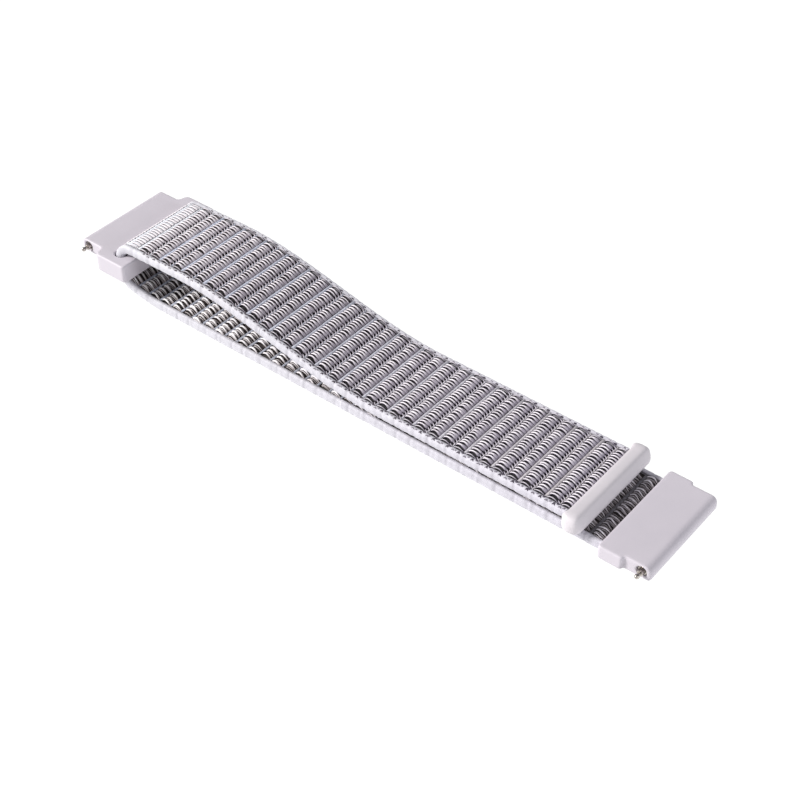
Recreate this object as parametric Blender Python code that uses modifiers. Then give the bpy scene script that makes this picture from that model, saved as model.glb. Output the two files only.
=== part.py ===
"""Hook and loop watch strap: one woven webbing folded through a slotted adapter and closed back on itself.

The strap lies folded, ribbed face out, with its lower layer on the resting plane. +X runs along it from the
slotted adapter to the anchored adapter, +Y across it and +Z up. The origin is on the resting plane, midway
along and across the strap. Lengths are in metres.
"""

import math

import bmesh
import bpy
from mathutils import Matrix, Vector

# Whole strap
folded_length = 0.1348
lug_width = 0.0220
lug_side_clearance = 0.0001

# Webbing
webbing_width = 0.0202
webbing_thickness = 0.00215
tongue_thickness = 0.0010
loop_pile_gap = 0.0002
closed_from_middle = 0.0080
peak_from_bar = 0.0126
fold_exit_angle = math.radians(2.0)
fold_entry_angle = math.radians(16.0)
fold_corner_radius = 0.0003
fold_top_radius = 0.0023
fold_top_drop = 0.00055
fold_low_drop = 0.0017

# Hook patch
hook_patch_thickness = 0.0004
hook_patch_length = 0.0255
hook_patch_edge_margin = 0.0011
hook_bond_gap = 0.0001

# End tab
tab_length = 0.00335
tab_overhang = 0.0019
tab_hug = 0.0006
tab_top_rise = 0.0006
tab_top_length = 0.0022
tab_slope_foot_height = 0.0011
tab_heel_length = 0.0005
tab_brow_length = 0.0004
tab_brow_drop = 0.0009
tab_edge_radius = 0.0003
tab_dome_radius = 0.0014
tab_end_radius = 0.0018
tab_to_anchored_adapter = 0.0037
tab_tongue_reach = 0.0022

# Slotted adapter
slotted_length = 0.0140
slotted_shoulder_length = 0.0081
slotted_side_wall = 0.00205
slotted_height = 0.00395
slotted_lug_thickness = 0.00275
slotted_hover = 0.0057
slotted_nose_radius = 0.0013
slotted_heel_radius = 0.0009
slotted_step_radius = 0.0005
slotted_shoulder_lean = 0.00045
slotted_shoulder_fillet = 0.0007
slotted_shoulder_round = 0.0012
slot_width = 0.0027
slot_bar_width = 0.0024
slot_end_clearance = 0.0009
slot_end_radius = 0.0012

# Anchored adapter
anchored_length = 0.0102
anchored_shoulder_length = 0.00485
anchored_side_wall = 0.00155
anchored_height = 0.0029
anchored_nose_radius = 0.0016
anchored_heel_radius = 0.0009
anchored_tongue_reach = 0.0038
anchored_shoulder_lean = 0.0001
anchored_shoulder_fillet = 0.0004
anchored_shoulder_round = 0.0005

# Both adapters
adapter_rim = 0.00035
adapter_corner_radius = 0.0006
bore_radius = 0.00105
bore_from_nose = 0.0019

# Quick-release spring bars
tube_radius = 0.0009
tube_wall = 0.00025
tube_inset = 0.0004
tip_shoulder_reach = 0.0005
tip_neck_radius = 0.00033
tip_neck_length = 0.0007
tip_head_radius = 0.00045
tip_head_length = 0.0006
sprung_tip_set_back = 0.0008
tip_plug_length = 0.0015
release_travel = 0.0013
plunger_length = 0.0062
lever_from_tube_end = 0.0042
lever_pin_radius = 0.0003
lever_knob_radius = 0.00055
lever_knob_height = 0.0004
lever_window_width = 0.0020
lever_window_play = 0.0006
coil_wire_radius = 0.0001
coil_radius = 0.00045
coil_turns = 12

# Fits and cutting
seat_gap = 0.00025
pocket_gap = 0.00015
running_gap = 0.00006
segment_gap = 0.0003
cut_overrun = 0.0010
weld_distance = 0.000001

# Smoothness
arc_steps = 8
rim_steps = 2
turned_steps = 20
points_per_turn = 8
curve_step_share = 0.02

# Places that follow from the sizes above
half_thickness = webbing_thickness / 2
half_webbing = webbing_width / 2
half_lug = lug_width / 2 - lug_side_clearance
slot_half_length = half_webbing + slot_end_clearance
slotted_width = 2 * (slot_half_length + slotted_side_wall)
anchored_width = 2 * (half_webbing + anchored_side_wall)
slotted_outer_x = -folded_length / 2
slotted_shoulder_x = slotted_outer_x + slotted_length - slotted_shoulder_length
bar_right_x = slotted_outer_x + slotted_length
bar_left_x = bar_right_x - slot_bar_width
slot_left_x = bar_left_x - slot_width
slotted_bottom_z = slotted_hover
slotted_top_z = slotted_bottom_z + slotted_height
lug_bottom_z = slotted_top_z - slotted_lug_thickness
anchored_outer_x = folded_length / 2
anchored_left_x = anchored_outer_x - anchored_length
anchored_shoulder_x = anchored_left_x + anchored_shoulder_length
lower_middle_z = half_thickness
patch_bottom_z = webbing_thickness + loop_pile_gap
flap_middle_z = patch_bottom_z + hook_patch_thickness + hook_bond_gap + half_thickness
tab_right_x = anchored_left_x - tab_to_anchored_adapter
tab_left_x = tab_right_x - tab_length
tab_back_x = tab_left_x - tab_hug
tab_bottom_z = webbing_thickness + seat_gap
tab_top_z = flap_middle_z + half_thickness + tab_top_rise

# Fold of the webbing round the slot's bar
slot_middle_x = bar_left_x - seat_gap - half_thickness
low_bend_radius = fold_corner_radius + seat_gap + half_thickness
low_bend_x = slot_middle_x + low_bend_radius
low_bend_z = slotted_bottom_z - fold_low_drop
entry_x = low_bend_x - low_bend_radius * math.sin(fold_entry_angle)
entry_z = low_bend_z - low_bend_radius * math.cos(fold_entry_angle)
rise_length = 2 * (entry_z - lower_middle_z) / math.tan(fold_entry_angle)
rise_start_x = entry_x + rise_length
top_bend_x = slot_middle_x + fold_top_radius
top_bend_z = slotted_top_z - fold_top_drop
exit_x = top_bend_x - fold_top_radius * math.sin(fold_exit_angle)
exit_z = top_bend_z + fold_top_radius * math.cos(fold_exit_angle)
peak_x = bar_right_x + peak_from_bar
peak_z = exit_z + math.tan(fold_exit_angle) * (peak_x - exit_x) / 2

# Joint axes
swivel_from_bar = 0.0028
flap_axis_from_bar = 0.0036
flap_end_axis_from_closure = 0.0060
end_flex_from_adapter = 0.0017
swivel_axis_x = bar_right_x + swivel_from_bar
flap_axis_x = bar_right_x + flap_axis_from_bar
flap_end_axis_x = closed_from_middle + flap_end_axis_from_closure
end_flex_axis_x = anchored_left_x - end_flex_from_adapter

# Spring bar axes, each adapter's bore
slotted_bore_x = slotted_outer_x + bore_from_nose
slotted_bore_z = (lug_bottom_z + slotted_top_z) / 2
anchored_bore_x = anchored_outer_x - bore_from_nose
anchored_bore_z = anchored_height / 2

# Finishes: colour, roughness, metallic value
finish_values = {
    "lilac_plastic": ((0.70, 0.66, 0.71, 1.0), 0.42, 0.0),
    "ribbed_nylon": ((0.46, 0.45, 0.49, 1.0), 0.85, 0.0),
    "loop_nylon": ((0.30, 0.29, 0.31, 1.0), 0.9, 0.0),
    "hook_nylon": ((0.62, 0.61, 0.64, 1.0), 0.6, 0.0),
    "steel": ((0.62, 0.60, 0.58, 1.0), 0.25, 1.0),
}


def clear_scene():
    """Removes whatever the scene holds."""
    for item in list(bpy.data.objects):
        bpy.data.objects.remove(item)


def new_collection(name):
    """A collection under the scene's own."""
    collection = bpy.data.collections.new(name)
    bpy.context.scene.collection.children.link(collection)
    return collection


clear_scene()
strap = new_collection("hook_and_loop_watch_strap")
cutters = new_collection("cutters")


def finish(name, part_name):
    """The part's own material, of a named finish."""
    colour, roughness, metallic = finish_values[name]
    material = bpy.data.materials.new(part_name)
    material.use_nodes = True
    shader = material.node_tree.nodes["Principled BSDF"]
    shader.inputs["Base Color"].default_value = colour
    shader.inputs["Roughness"].default_value = roughness
    shader.inputs["Metallic"].default_value = metallic
    return material


def as_part(item, name, finish_name):
    """Names an object as a part of the strap and gives it its material."""
    item.name = name
    item.data.name = name
    item.data.materials.clear()
    item.data.materials.append(finish(finish_name, name))
    move_to(item, strap)
    return item


def as_cutter(item, name):
    """Makes an object a cutter, which isn't part of the strap."""
    item.name = name
    item.hide_render = True
    item.display_type = "WIRE"
    move_to(item, cutters)
    return item


def move_to(item, collection):
    """Puts an object in one collection only."""
    for holder in list(item.users_collection):
        holder.objects.unlink(item)
    collection.objects.link(item)


def cut(item, cutter, operation="DIFFERENCE"):
    """Cuts an object, or keeps only what it shares with the cutter."""
    modifier = item.modifiers.new(cutter.name, "BOOLEAN")
    modifier.operation = operation
    modifier.solver = "EXACT"
    modifier.object = cutter


def welded_mesh(item):
    """Turns a curve object into a mesh object whose loose caps are welded."""
    depsgraph = bpy.context.evaluated_depsgraph_get()
    mesh = bpy.data.meshes.new_from_object(item.evaluated_get(depsgraph))
    work = bmesh.new()
    work.from_mesh(mesh)
    bmesh.ops.remove_doubles(work, verts=work.verts, dist=weld_distance)
    bmesh.ops.recalc_face_normals(work, faces=work.faces)
    work.to_mesh(mesh)
    work.free()
    result = bpy.data.objects.new(item.name, mesh)
    result.matrix_world = item.matrix_world
    strap.objects.link(result)
    bpy.data.objects.remove(item)
    return result


def outline_curve(outline, half_depth, rim):
    """A filled flat outline with depth on both sides, whose rims may be rounded."""
    curve = bpy.data.curves.new("outline", "CURVE")
    curve.dimensions = "2D"
    curve.fill_mode = "BOTH"
    curve.extrude = half_depth - rim
    curve.bevel_depth = rim
    curve.bevel_resolution = rim_steps
    curve.offset = -rim
    spline = curve.splines.new("POLY")
    spline.points.add(len(outline) - 1)
    for point, (x, y) in zip(spline.points, outline):
        point.co = (x, y, 0, 1)
    spline.use_cyclic_u = True
    item = bpy.data.objects.new("outline", curve)
    strap.objects.link(item)
    return item


def plan_prism(outline, bottom_z, top_z, rim=0.0):
    """A solid with an outline in X and Y, from one height to another."""
    item = outline_curve(outline, (top_z - bottom_z) / 2, rim)
    item.location = (0, 0, (bottom_z + top_z) / 2)
    bpy.context.view_layer.update()
    return welded_mesh(item)


def side_prism(outline, width):
    """A solid with an outline in X and Z, spread evenly across Y."""
    item = outline_curve(outline, width / 2, 0.0)
    item.rotation_euler = (math.pi / 2, 0, 0)
    bpy.context.view_layer.update()
    return welded_mesh(item)


def end_prism(outline, left_x, right_x):
    """A solid with an outline in Y and Z, from one place along X to another."""
    item = outline_curve(outline, (right_x - left_x) / 2, 0.0)
    item.rotation_euler = (math.pi / 2, 0, math.pi / 2)
    item.location = ((left_x + right_x) / 2, 0, 0)
    bpy.context.view_layer.update()
    return welded_mesh(item)


def box(low, high):
    """A box between two corners."""
    bpy.ops.mesh.primitive_cube_add(size=1)
    item = bpy.context.object
    size = Vector(high) - Vector(low)
    centre = (Vector(high) + Vector(low)) / 2
    item.data.transform(Matrix.Translation(centre) @ Matrix.Diagonal((*size, 1)))
    return item


def cross_cylinder(x, z, radius, width):
    """A cylinder along Y."""
    bpy.ops.mesh.primitive_cylinder_add(vertices=turned_steps, radius=radius, depth=width)
    item = bpy.context.object
    item.data.transform(Matrix.Translation((x, 0, z)) @ Matrix.Rotation(math.pi / 2, 4, "X"))
    return item


def arc(centre_x, centre_y, radius, start_angle, end_angle):
    """Points along an arc, both ends included."""
    angles = [start_angle + (end_angle - start_angle) * step / arc_steps for step in range(arc_steps + 1)]
    return [(centre_x + radius * math.cos(a), centre_y + radius * math.sin(a)) for a in angles]


def rounded_outline(corners):
    """An outline through corners given as x, y and the radius that rounds each."""
    outline = []
    for index, (x, y, radius) in enumerate(corners):
        corner = Vector((x, y))
        before = (Vector(corners[index - 1][:2]) - corner).normalized()
        after = (Vector(corners[(index + 1) % len(corners)][:2]) - corner).normalized()
        half_angle = before.angle(after) / 2
        centre = corner + (before + after).normalized() * radius / math.sin(half_angle)
        start = corner + before * radius / math.tan(half_angle) - centre
        end = corner + after * radius / math.tan(half_angle) - centre
        turn = math.atan2(start.x * end.y - start.y * end.x, start.dot(end))
        start_angle = math.atan2(start.y, start.x)
        outline += arc(centre.x, centre.y, radius, start_angle, start_angle + turn)
    return outline


def rounded_rectangle(left_x, right_x, half_width, radius):
    """A rectangle's outline from above with four round corners."""
    corners = [(left_x, half_width), (right_x, half_width), (right_x, -half_width), (left_x, -half_width)]
    return rounded_outline([(x, y, radius) for x, y in corners])


def stepped_plan(outer_x, shoulder_x, strap_x, width, lean, fillet, rounding):
    """An adapter's outline from above: narrow between the lugs, wider at the strap."""
    half_width = width / 2
    strapward = math.copysign(lean / 2, strap_x - outer_x)
    step = abs(half_width - half_lug)
    room = math.hypot(step, lean) / math.tan(math.atan2(step, lean) / 2)
    fitting = min(1.0, room / (fillet + rounding))
    side = [
        (outer_x, half_lug, adapter_corner_radius),
        (shoulder_x - strapward, half_lug, fillet * fitting),
        (shoulder_x + strapward, half_width, rounding * fitting),
        (strap_x, half_width, adapter_corner_radius),
    ]
    return rounded_outline(side + [(x, -y, radius) for x, y, radius in reversed(side)])


def webbing_top(x):
    """Height of the flap's centreline: off the fold, over its peak and down to the closed stretch."""
    if x < peak_x:
        return peak_z - (peak_x - x) ** 2 * math.tan(fold_exit_angle) / (2 * (peak_x - exit_x))
    share = min((x - peak_x) / (closed_from_middle - peak_x), 1.0)
    return peak_z + (flap_middle_z - peak_z) * share**2 * (3 - 2 * share)


def webbing_low(x):
    """Height of the lower layer's centreline, which rises to pass under the slot's bar."""
    rise = max(rise_start_x - x, 0.0)
    return lower_middle_z + rise**2 * math.tan(fold_entry_angle) / (2 * rise_length)


def slope(height, x):
    """Angle of a centreline at one place."""
    step = webbing_thickness * curve_step_share
    return math.atan2(height(x + step) - height(x - step), 2 * step)


def stretch(height, start_x, end_x, step_length):
    """Points along a centreline between two places, either way round."""
    count = max(2, round(abs(end_x - start_x) / step_length))
    places = [start_x + (end_x - start_x) * step / count for step in range(count + 1)]
    return [(x, height(x)) for x in places]


def round_cap():
    """A half-round end about the last point, as along and across offsets."""
    return arc(0, 0, half_thickness, math.pi / 2, -math.pi / 2)[1:-1]


def tongue_cap(reach):
    """A thinner tongue beyond the end, as along and across offsets."""
    half_tongue = tongue_thickness / 2
    return [(0, half_tongue), (reach, half_tongue), (reach, -half_tongue), (0, -half_tongue)]


def webbing_piece(name, path, start_cap=(), end_cap=(), finish_name="ribbed_nylon"):
    """One stretch of webbing along a centreline in X and Z, with its ends shaped by the caps."""
    points = [Vector(point) for point in path]
    left, right = [], []
    for index, point in enumerate(points):
        ahead = points[min(index + 1, len(points) - 1)] - points[max(index - 1, 0)]
        normal = Vector((-ahead.y, ahead.x)).normalized() * half_thickness
        left.append(point + normal)
        right.append(point - normal)
    outline = left + placed_cap(points[-1], points[-1] - points[-2], end_cap)
    outline += right[::-1] + placed_cap(points[0], points[0] - points[1], start_cap)
    return as_part(side_prism([tuple(point) for point in outline], webbing_width), name, finish_name)


def placed_cap(point, direction, cap):
    """A cap's offsets laid out from an end point and the way the webbing leaves it."""
    along = direction.normalized()
    across = Vector((-along.y, along.x))
    return [point + along * a + across * b for a, b in cap]


def build_webbing():
    """The webbing in the five stretches between which it bends."""
    coarse, fine = webbing_width / 4, webbing_thickness / 2
    joint_reach = half_thickness + seat_gap
    lower = [(end_flex_axis_x, webbing_low(end_flex_axis_x)), (rise_start_x, lower_middle_z)]
    lower += stretch(webbing_low, rise_start_x, swivel_axis_x, webbing_thickness)[1:]
    webbing_piece("webbing_lower", lower, round_cap(), round_cap(), "loop_nylon")

    fold = stretch(webbing_low, swivel_axis_x - joint_reach, entry_x, fine)[:-1]
    fold += arc(low_bend_x, low_bend_z, low_bend_radius, -math.pi / 2 - fold_entry_angle, -math.pi)
    fold += arc(top_bend_x, top_bend_z, fold_top_radius, math.pi, math.pi / 2 + fold_exit_angle)
    fold += stretch(webbing_top, exit_x, flap_axis_x, webbing_thickness)[1:]
    webbing_piece("webbing_fold", fold)

    flap = stretch(webbing_top, flap_axis_x + segment_gap, peak_x, webbing_thickness)
    flap += stretch(webbing_top, peak_x, closed_from_middle, coarse)[1:]
    flap += [(flap_end_axis_x, flap_middle_z)]
    webbing_piece("webbing_flap", flap)

    flap_end = [(flap_end_axis_x + segment_gap, flap_middle_z), (tab_left_x - seat_gap, flap_middle_z)]
    webbing_piece("webbing_flap_end", flap_end, (), tongue_cap(seat_gap + tab_tongue_reach))

    anchor_left_x = end_flex_axis_x + joint_reach
    anchor = [(anchor_left_x, lower_middle_z), (anchored_left_x - seat_gap / 2, lower_middle_z)]
    tongue = tongue_cap(seat_gap / 2 + anchored_tongue_reach)
    webbing_piece("webbing_anchor", anchor, (), tongue, "loop_nylon")


def build_hook_patch():
    """The hook tape under the flap's end."""
    half_width = half_webbing - hook_patch_edge_margin
    right_x = tab_left_x - hook_patch_edge_margin
    low = (right_x - hook_patch_length, -half_width, patch_bottom_z)
    high = (right_x, half_width, patch_bottom_z + hook_patch_thickness)
    as_part(box(low, high), "hook_patch", "hook_nylon")


def tongue_pocket(name, left_x, right_x, middle_z):
    """The cutter for a pocket that holds a webbing tongue."""
    half_width = half_webbing + pocket_gap
    half_height = tongue_thickness / 2 + pocket_gap
    low = (left_x, -half_width, middle_z - half_height)
    high = (right_x, half_width, middle_z + half_height)
    return as_cutter(box(low, high), name)


def tab_section():
    """The tab's outline in X and Z: a flat top that slopes down towards the anchored adapter."""
    radius = tab_edge_radius
    corners = [(tab_back_x, tab_bottom_z, radius), (tab_right_x - tab_heel_length, tab_bottom_z, radius)]
    corners += [(tab_right_x, tab_bottom_z + tab_slope_foot_height, radius)]
    corners += [(tab_left_x + tab_top_length, tab_top_z, radius)]
    corners += [(tab_back_x + tab_brow_length, tab_top_z, radius)]
    corners += [(tab_back_x, tab_top_z - tab_brow_drop, radius)]
    return rounded_outline(corners)


def build_tab():
    """The moulded tab that caps the flap, with domed ends that hug the webbing's edges."""
    half_width = half_webbing + tab_overhang
    outline = rounded_rectangle(tab_back_x, tab_right_x, half_width, tab_end_radius)
    tab = as_part(plan_prism(outline, tab_bottom_z, tab_top_z), "end_tab", "lilac_plastic")
    section = side_prism(tab_section(), 2 * (half_width + cut_overrun))
    cut(tab, as_cutter(section, "tab_section_keeper"), "INTERSECT")
    dome = [(-half_width, tab_bottom_z, tab_edge_radius), (half_width, tab_bottom_z, tab_edge_radius)]
    dome += [(half_width, tab_top_z, tab_dome_radius), (-half_width, tab_top_z, tab_dome_radius)]
    ends = end_prism(rounded_outline(dome), tab_back_x - cut_overrun, tab_right_x + cut_overrun)
    cut(tab, as_cutter(ends, "tab_ends_keeper"), "INTERSECT")
    half_notch = half_webbing + pocket_gap
    notch_low = (tab_back_x - cut_overrun, -half_notch, tab_bottom_z - cut_overrun)
    notch_high = (tab_left_x, half_notch, tab_top_z + cut_overrun)
    cut(tab, as_cutter(box(notch_low, notch_high), "tab_notch"))
    pocket_right_x = tab_left_x + tab_tongue_reach + pocket_gap
    cut(tab, tongue_pocket("tab_pocket", tab_left_x - cut_overrun, pocket_right_x, flap_middle_z))


def build_slotted_adapter():
    """The adapter whose slot the webbing folds through."""
    shoulder = (slotted_shoulder_lean, slotted_shoulder_fillet, slotted_shoulder_round)
    plan = stepped_plan(slotted_outer_x, slotted_shoulder_x, bar_right_x, slotted_width, *shoulder)
    blank = plan_prism(plan, slotted_bottom_z, slotted_top_z, adapter_rim)
    adapter = as_part(blank, "slotted_adapter", "lilac_plastic")
    low_z, high_z = slotted_bottom_z - cut_overrun, slotted_top_z + cut_overrun
    nose_radii = (slotted_nose_radius, slotted_heel_radius)
    nose = rounded_nose(slotted_outer_x, 1, slotted_top_z, lug_bottom_z, *nose_radii)
    step_radius, step_x = slotted_step_radius, slotted_shoulder_x
    keep = [(bar_right_x + cut_overrun, low_z), (bar_right_x + cut_overrun, high_z)]
    keep += [(slotted_outer_x + slotted_nose_radius, high_z)] + nose
    keep += arc(step_x - step_radius, lug_bottom_z - step_radius, step_radius, math.pi / 2, 0)
    keep += [(step_x, low_z)]
    keeper = as_cutter(side_prism(keep, slotted_width + 2 * cut_overrun), "slotted_side_keeper")
    cut(adapter, keeper, "INTERSECT")
    slot = rounded_rectangle(slot_left_x, bar_left_x, slot_half_length, slot_end_radius)
    cut(adapter, as_cutter(plan_prism(slot, low_z, high_z), "slot_cutter"))
    cut_bar_seat(adapter, "slotted", slotted_bore_x, slotted_bore_z, lug_bottom_z)


def build_anchored_adapter():
    """The adapter moulded onto the webbing's fixed end."""
    shoulder = (anchored_shoulder_lean, anchored_shoulder_fillet, anchored_shoulder_round)
    plan = stepped_plan(anchored_outer_x, anchored_shoulder_x, anchored_left_x, anchored_width, *shoulder)
    blank = plan_prism(plan, 0.0, anchored_height, adapter_rim)
    adapter = as_part(blank, "anchored_adapter", "lilac_plastic")
    low_z, high_z = -cut_overrun, anchored_height + cut_overrun
    nose_radii = (anchored_nose_radius, anchored_heel_radius)
    nose = rounded_nose(anchored_outer_x, -1, anchored_height, 0.0, *nose_radii)
    keep = [(anchored_left_x - cut_overrun, low_z), (anchored_left_x - cut_overrun, high_z)]
    keep += [(anchored_outer_x - anchored_nose_radius, high_z)] + nose
    keep += [(anchored_outer_x - anchored_heel_radius, low_z)]
    keeper = as_cutter(side_prism(keep, anchored_width + 2 * cut_overrun), "anchored_side_keeper")
    cut(adapter, keeper, "INTERSECT")
    pocket_right_x = anchored_left_x + anchored_tongue_reach + pocket_gap
    pocket = tongue_pocket("anchor_pocket", anchored_left_x - cut_overrun, pocket_right_x, lower_middle_z)
    cut(adapter, pocket)
    cut_bar_seat(adapter, "anchored", anchored_bore_x, anchored_bore_z, 0.0)


def rounded_nose(outer_x, inward, top_z, bottom_z, nose_radius, heel_radius):
    """The round end of an adapter seen from the side, from its top face down to its underside."""
    nose = arc(0, 0, nose_radius, math.pi / 2, math.pi)
    heel = arc(0, 0, heel_radius, math.pi, math.pi * 1.5)
    points = [(outer_x + inward * (nose_radius + x), top_z - nose_radius + z) for x, z in nose]
    return points + [(outer_x + inward * (heel_radius + x), bottom_z + heel_radius + z) for x, z in heel]


def cut_bar_seat(adapter, prefix, bore_x, bore_z, underside_z):
    """Cuts the cross bore for a spring bar, and the window that its release lever slides in."""
    bore = cross_cylinder(bore_x, bore_z, bore_radius, lug_width + 2 * cut_overrun)
    cut(adapter, as_cutter(bore, prefix + "_bore_cutter"))
    near_y, far_y = lever_window_span()
    low = (bore_x - lever_window_width / 2, near_y, underside_z - cut_overrun)
    high = (bore_x + lever_window_width / 2, far_y, bore_z)
    cut(adapter, as_cutter(box(low, high), prefix + "_window_cutter"))


def lever_y():
    """Where a release lever stands across the strap."""
    return half_lug - tube_inset - lever_from_tube_end


def lever_window_span():
    """The two ends across the strap of the window that a release lever slides in."""
    clearance = lever_knob_radius + lever_window_play
    return lever_y() - release_travel - clearance, lever_y() + clearance


def turned_part(name, profile, axis_x, axis_z, finish_name="steel", closed=False):
    """A turned piece along Y, from a profile of radius and place that runs down its outer side."""
    mesh = bpy.data.meshes.new(name)
    edges = [(index, index + 1) for index in range(len(profile) - 1)]
    if closed:
        edges.append((len(profile) - 1, 0))
    mesh.from_pydata([(radius, 0, place) for radius, place in profile], edges, [])
    item = bpy.data.objects.new(name, mesh)
    strap.objects.link(item)
    item.location = (axis_x, 0, axis_z)
    item.rotation_euler = (-math.pi / 2, 0, 0)
    screw = item.modifiers.new("turn", "SCREW")
    screw.axis = "Z"
    screw.steps = turned_steps
    screw.render_steps = turned_steps
    screw.use_merge_vertices = True
    screw.merge_threshold = weld_distance
    return as_part(item, name, finish_name)


def tip_profile(inner_y, shoulder_reach):
    """Half profile of a bar's tip, from its domed head down to its inner end."""
    plug_radius = tube_radius - tube_wall - running_gap
    shoulder_y = half_lug + shoulder_reach
    head_y = shoulder_y + tip_neck_length
    end_y = head_y + tip_head_length
    dome = arc(0, end_y - tip_head_radius, tip_head_radius, math.pi / 2, 0)
    profile = [(max(radius, 0.0), place) for radius, place in dome]
    profile += [(tip_head_radius, head_y), (tip_neck_radius, head_y), (tip_neck_radius, shoulder_y)]
    return profile + [(plug_radius, shoulder_y), (plug_radius, inner_y), (0, inner_y)]


def build_spring_bar(prefix, axis_x, axis_z, underside_z):
    """A quick-release spring bar: tube, fixed tip, sprung plunger with its lever, and coil."""
    tube_end_y = half_lug - tube_inset
    bore = tube_radius - tube_wall
    ring = [(tube_radius, tube_end_y), (tube_radius, -tube_end_y), (bore, -tube_end_y), (bore, tube_end_y)]
    tube = turned_part(prefix + "_bar_tube", ring, axis_x, axis_z, closed=True)
    pin_slot_half = lever_pin_radius + pocket_gap
    low = (axis_x - pin_slot_half, lever_y() - release_travel - pin_slot_half, axis_z - 2 * tube_radius)
    high = (axis_x + pin_slot_half, lever_y() + pin_slot_half, axis_z)
    cut(tube, as_cutter(box(low, high), prefix + "_tube_slot_cutter"))

    fixed_inner_y = tube_end_y - tip_plug_length
    mirrored = [(radius, -place) for radius, place in reversed(tip_profile(fixed_inner_y, tip_shoulder_reach))]
    turned_part(prefix + "_bar_fixed_tip", mirrored, axis_x, axis_z)

    plunger_inner_y = tube_end_y - plunger_length
    sprung_profile = tip_profile(plunger_inner_y, tip_shoulder_reach - sprung_tip_set_back)
    plunger = turned_part(prefix + "_bar_plunger", sprung_profile, axis_x, axis_z)
    hole_radius = lever_pin_radius + running_gap
    bpy.ops.mesh.primitive_cylinder_add(vertices=turned_steps, radius=hole_radius, depth=2 * tube_radius)
    hole = bpy.context.object
    hole.data.transform(Matrix.Translation((axis_x, lever_y(), axis_z - tube_radius + hole_radius)))
    cut(plunger, as_cutter(hole, prefix + "_lever_hole_cutter"))

    build_lever(prefix, axis_x, axis_z, underside_z)
    coil_ends = (-fixed_inner_y + seat_gap, plunger_inner_y - seat_gap)
    build_coil(prefix + "_bar_spring", axis_x, axis_z, *coil_ends)


def build_lever(prefix, axis_x, axis_z, underside_z):
    """The pin and knob that draw a plunger in, standing in the adapter's underside window."""
    knob_low = underside_z + running_gap
    knob_high = knob_low + lever_knob_height
    pin_high = axis_z + lever_pin_radius
    chamfer = lever_knob_height / 4
    profile = [
        (0, pin_high),
        (lever_pin_radius, pin_high),
        (lever_pin_radius, knob_high),
        (lever_knob_radius, knob_high),
        (lever_knob_radius, knob_low + chamfer),
        (lever_knob_radius - chamfer, knob_low),
        (0, knob_low),
    ]
    lever = turned_part(prefix + "_bar_lever", profile, axis_x, 0.0)
    lever.location = (axis_x, lever_y(), 0)
    lever.rotation_euler = (0, 0, 0)


def build_coil(name, axis_x, axis_z, start_y, end_y):
    """The coil between a bar's fixed tip and its plunger."""
    curve = bpy.data.curves.new(name, "CURVE")
    curve.dimensions = "3D"
    curve.bevel_depth = coil_wire_radius
    curve.bevel_resolution = 1
    curve.use_fill_caps = True
    steps = coil_turns * points_per_turn
    first_y, last_y = start_y + coil_wire_radius, end_y - coil_wire_radius
    spline = curve.splines.new("POLY")
    spline.points.add(steps)
    for step, point in enumerate(spline.points):
        angle = 2 * math.pi * step / points_per_turn
        y = first_y + (last_y - first_y) * step / steps
        point.co = (axis_x + coil_radius * math.cos(angle), y, axis_z + coil_radius * math.sin(angle), 1)
    item = bpy.data.objects.new(name, curve)
    strap.objects.link(item)
    bpy.context.view_layer.update()
    as_part(welded_mesh(item), name, "steel")


def axis_empty(name, place, parent=None):
    """An empty on a joint's axis."""
    empty = bpy.data.objects.new(name, None)
    strap.objects.link(empty)
    empty.matrix_world = Matrix.Translation(place)
    hang_on(empty, parent)
    return empty


def hang_on(item, parent):
    """Parents an object and leaves it where it is."""
    bpy.context.view_layer.update()
    if parent is not None:
        item.parent = parent
        item.matrix_parent_inverse = parent.matrix_world.inverted()


def carry(parent, *names):
    """Parents named parts to a joint's empty."""
    for name in names:
        hang_on(bpy.data.objects[name], parent)


def top_face_point(x):
    """The point on the flap's upper face over a place on its centreline."""
    lean = slope(webbing_top, x)
    return (x - half_thickness * math.sin(lean), 0, webbing_top(x) + half_thickness * math.cos(lean))


def build_joints():
    """Empties on the joint axes, with the pieces that each one moves."""
    swivel = axis_empty("adapter_swivel_axis", (swivel_axis_x, 0, webbing_low(swivel_axis_x)))
    carry(swivel, "slotted_adapter", "webbing_fold")
    flap = axis_empty("flap_peel_axis", top_face_point(flap_axis_x), swivel)
    carry(flap, "webbing_flap")
    flap_end = axis_empty("flap_end_peel_axis", top_face_point(flap_end_axis_x), flap)
    carry(flap_end, "webbing_flap_end", "hook_patch", "end_tab")
    end_flex = axis_empty("end_flex_axis", (end_flex_axis_x, 0, lower_middle_z))
    carry(end_flex, "anchored_adapter", "webbing_anchor")
    for prefix, carrier, x, z in (
        ("slotted", swivel, slotted_bore_x, slotted_bore_z),
        ("anchored", end_flex, anchored_bore_x, anchored_bore_z),
    ):
        bar_turn = axis_empty(prefix + "_bar_turn_axis", (x, 0, z), carrier)
        carry(bar_turn, prefix + "_bar_tube", prefix + "_bar_fixed_tip", prefix + "_bar_spring")
        release = axis_empty(prefix + "_release_axis", (x, lever_y(), z), bar_turn)
        carry(release, prefix + "_bar_plunger", prefix + "_bar_lever")
    for empty in (swivel, flap, flap_end, end_flex):
        print(empty.name, tuple(round(value, 6) for value in empty.matrix_world.translation))


def shade_parts():
    """Smooth shading with sharp edges kept."""
    for item in strap.objects:
        if item.type == "MESH":
            item.data.shade_smooth()
            item.data.set_sharp_from_angle(angle=math.radians(35))


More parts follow.
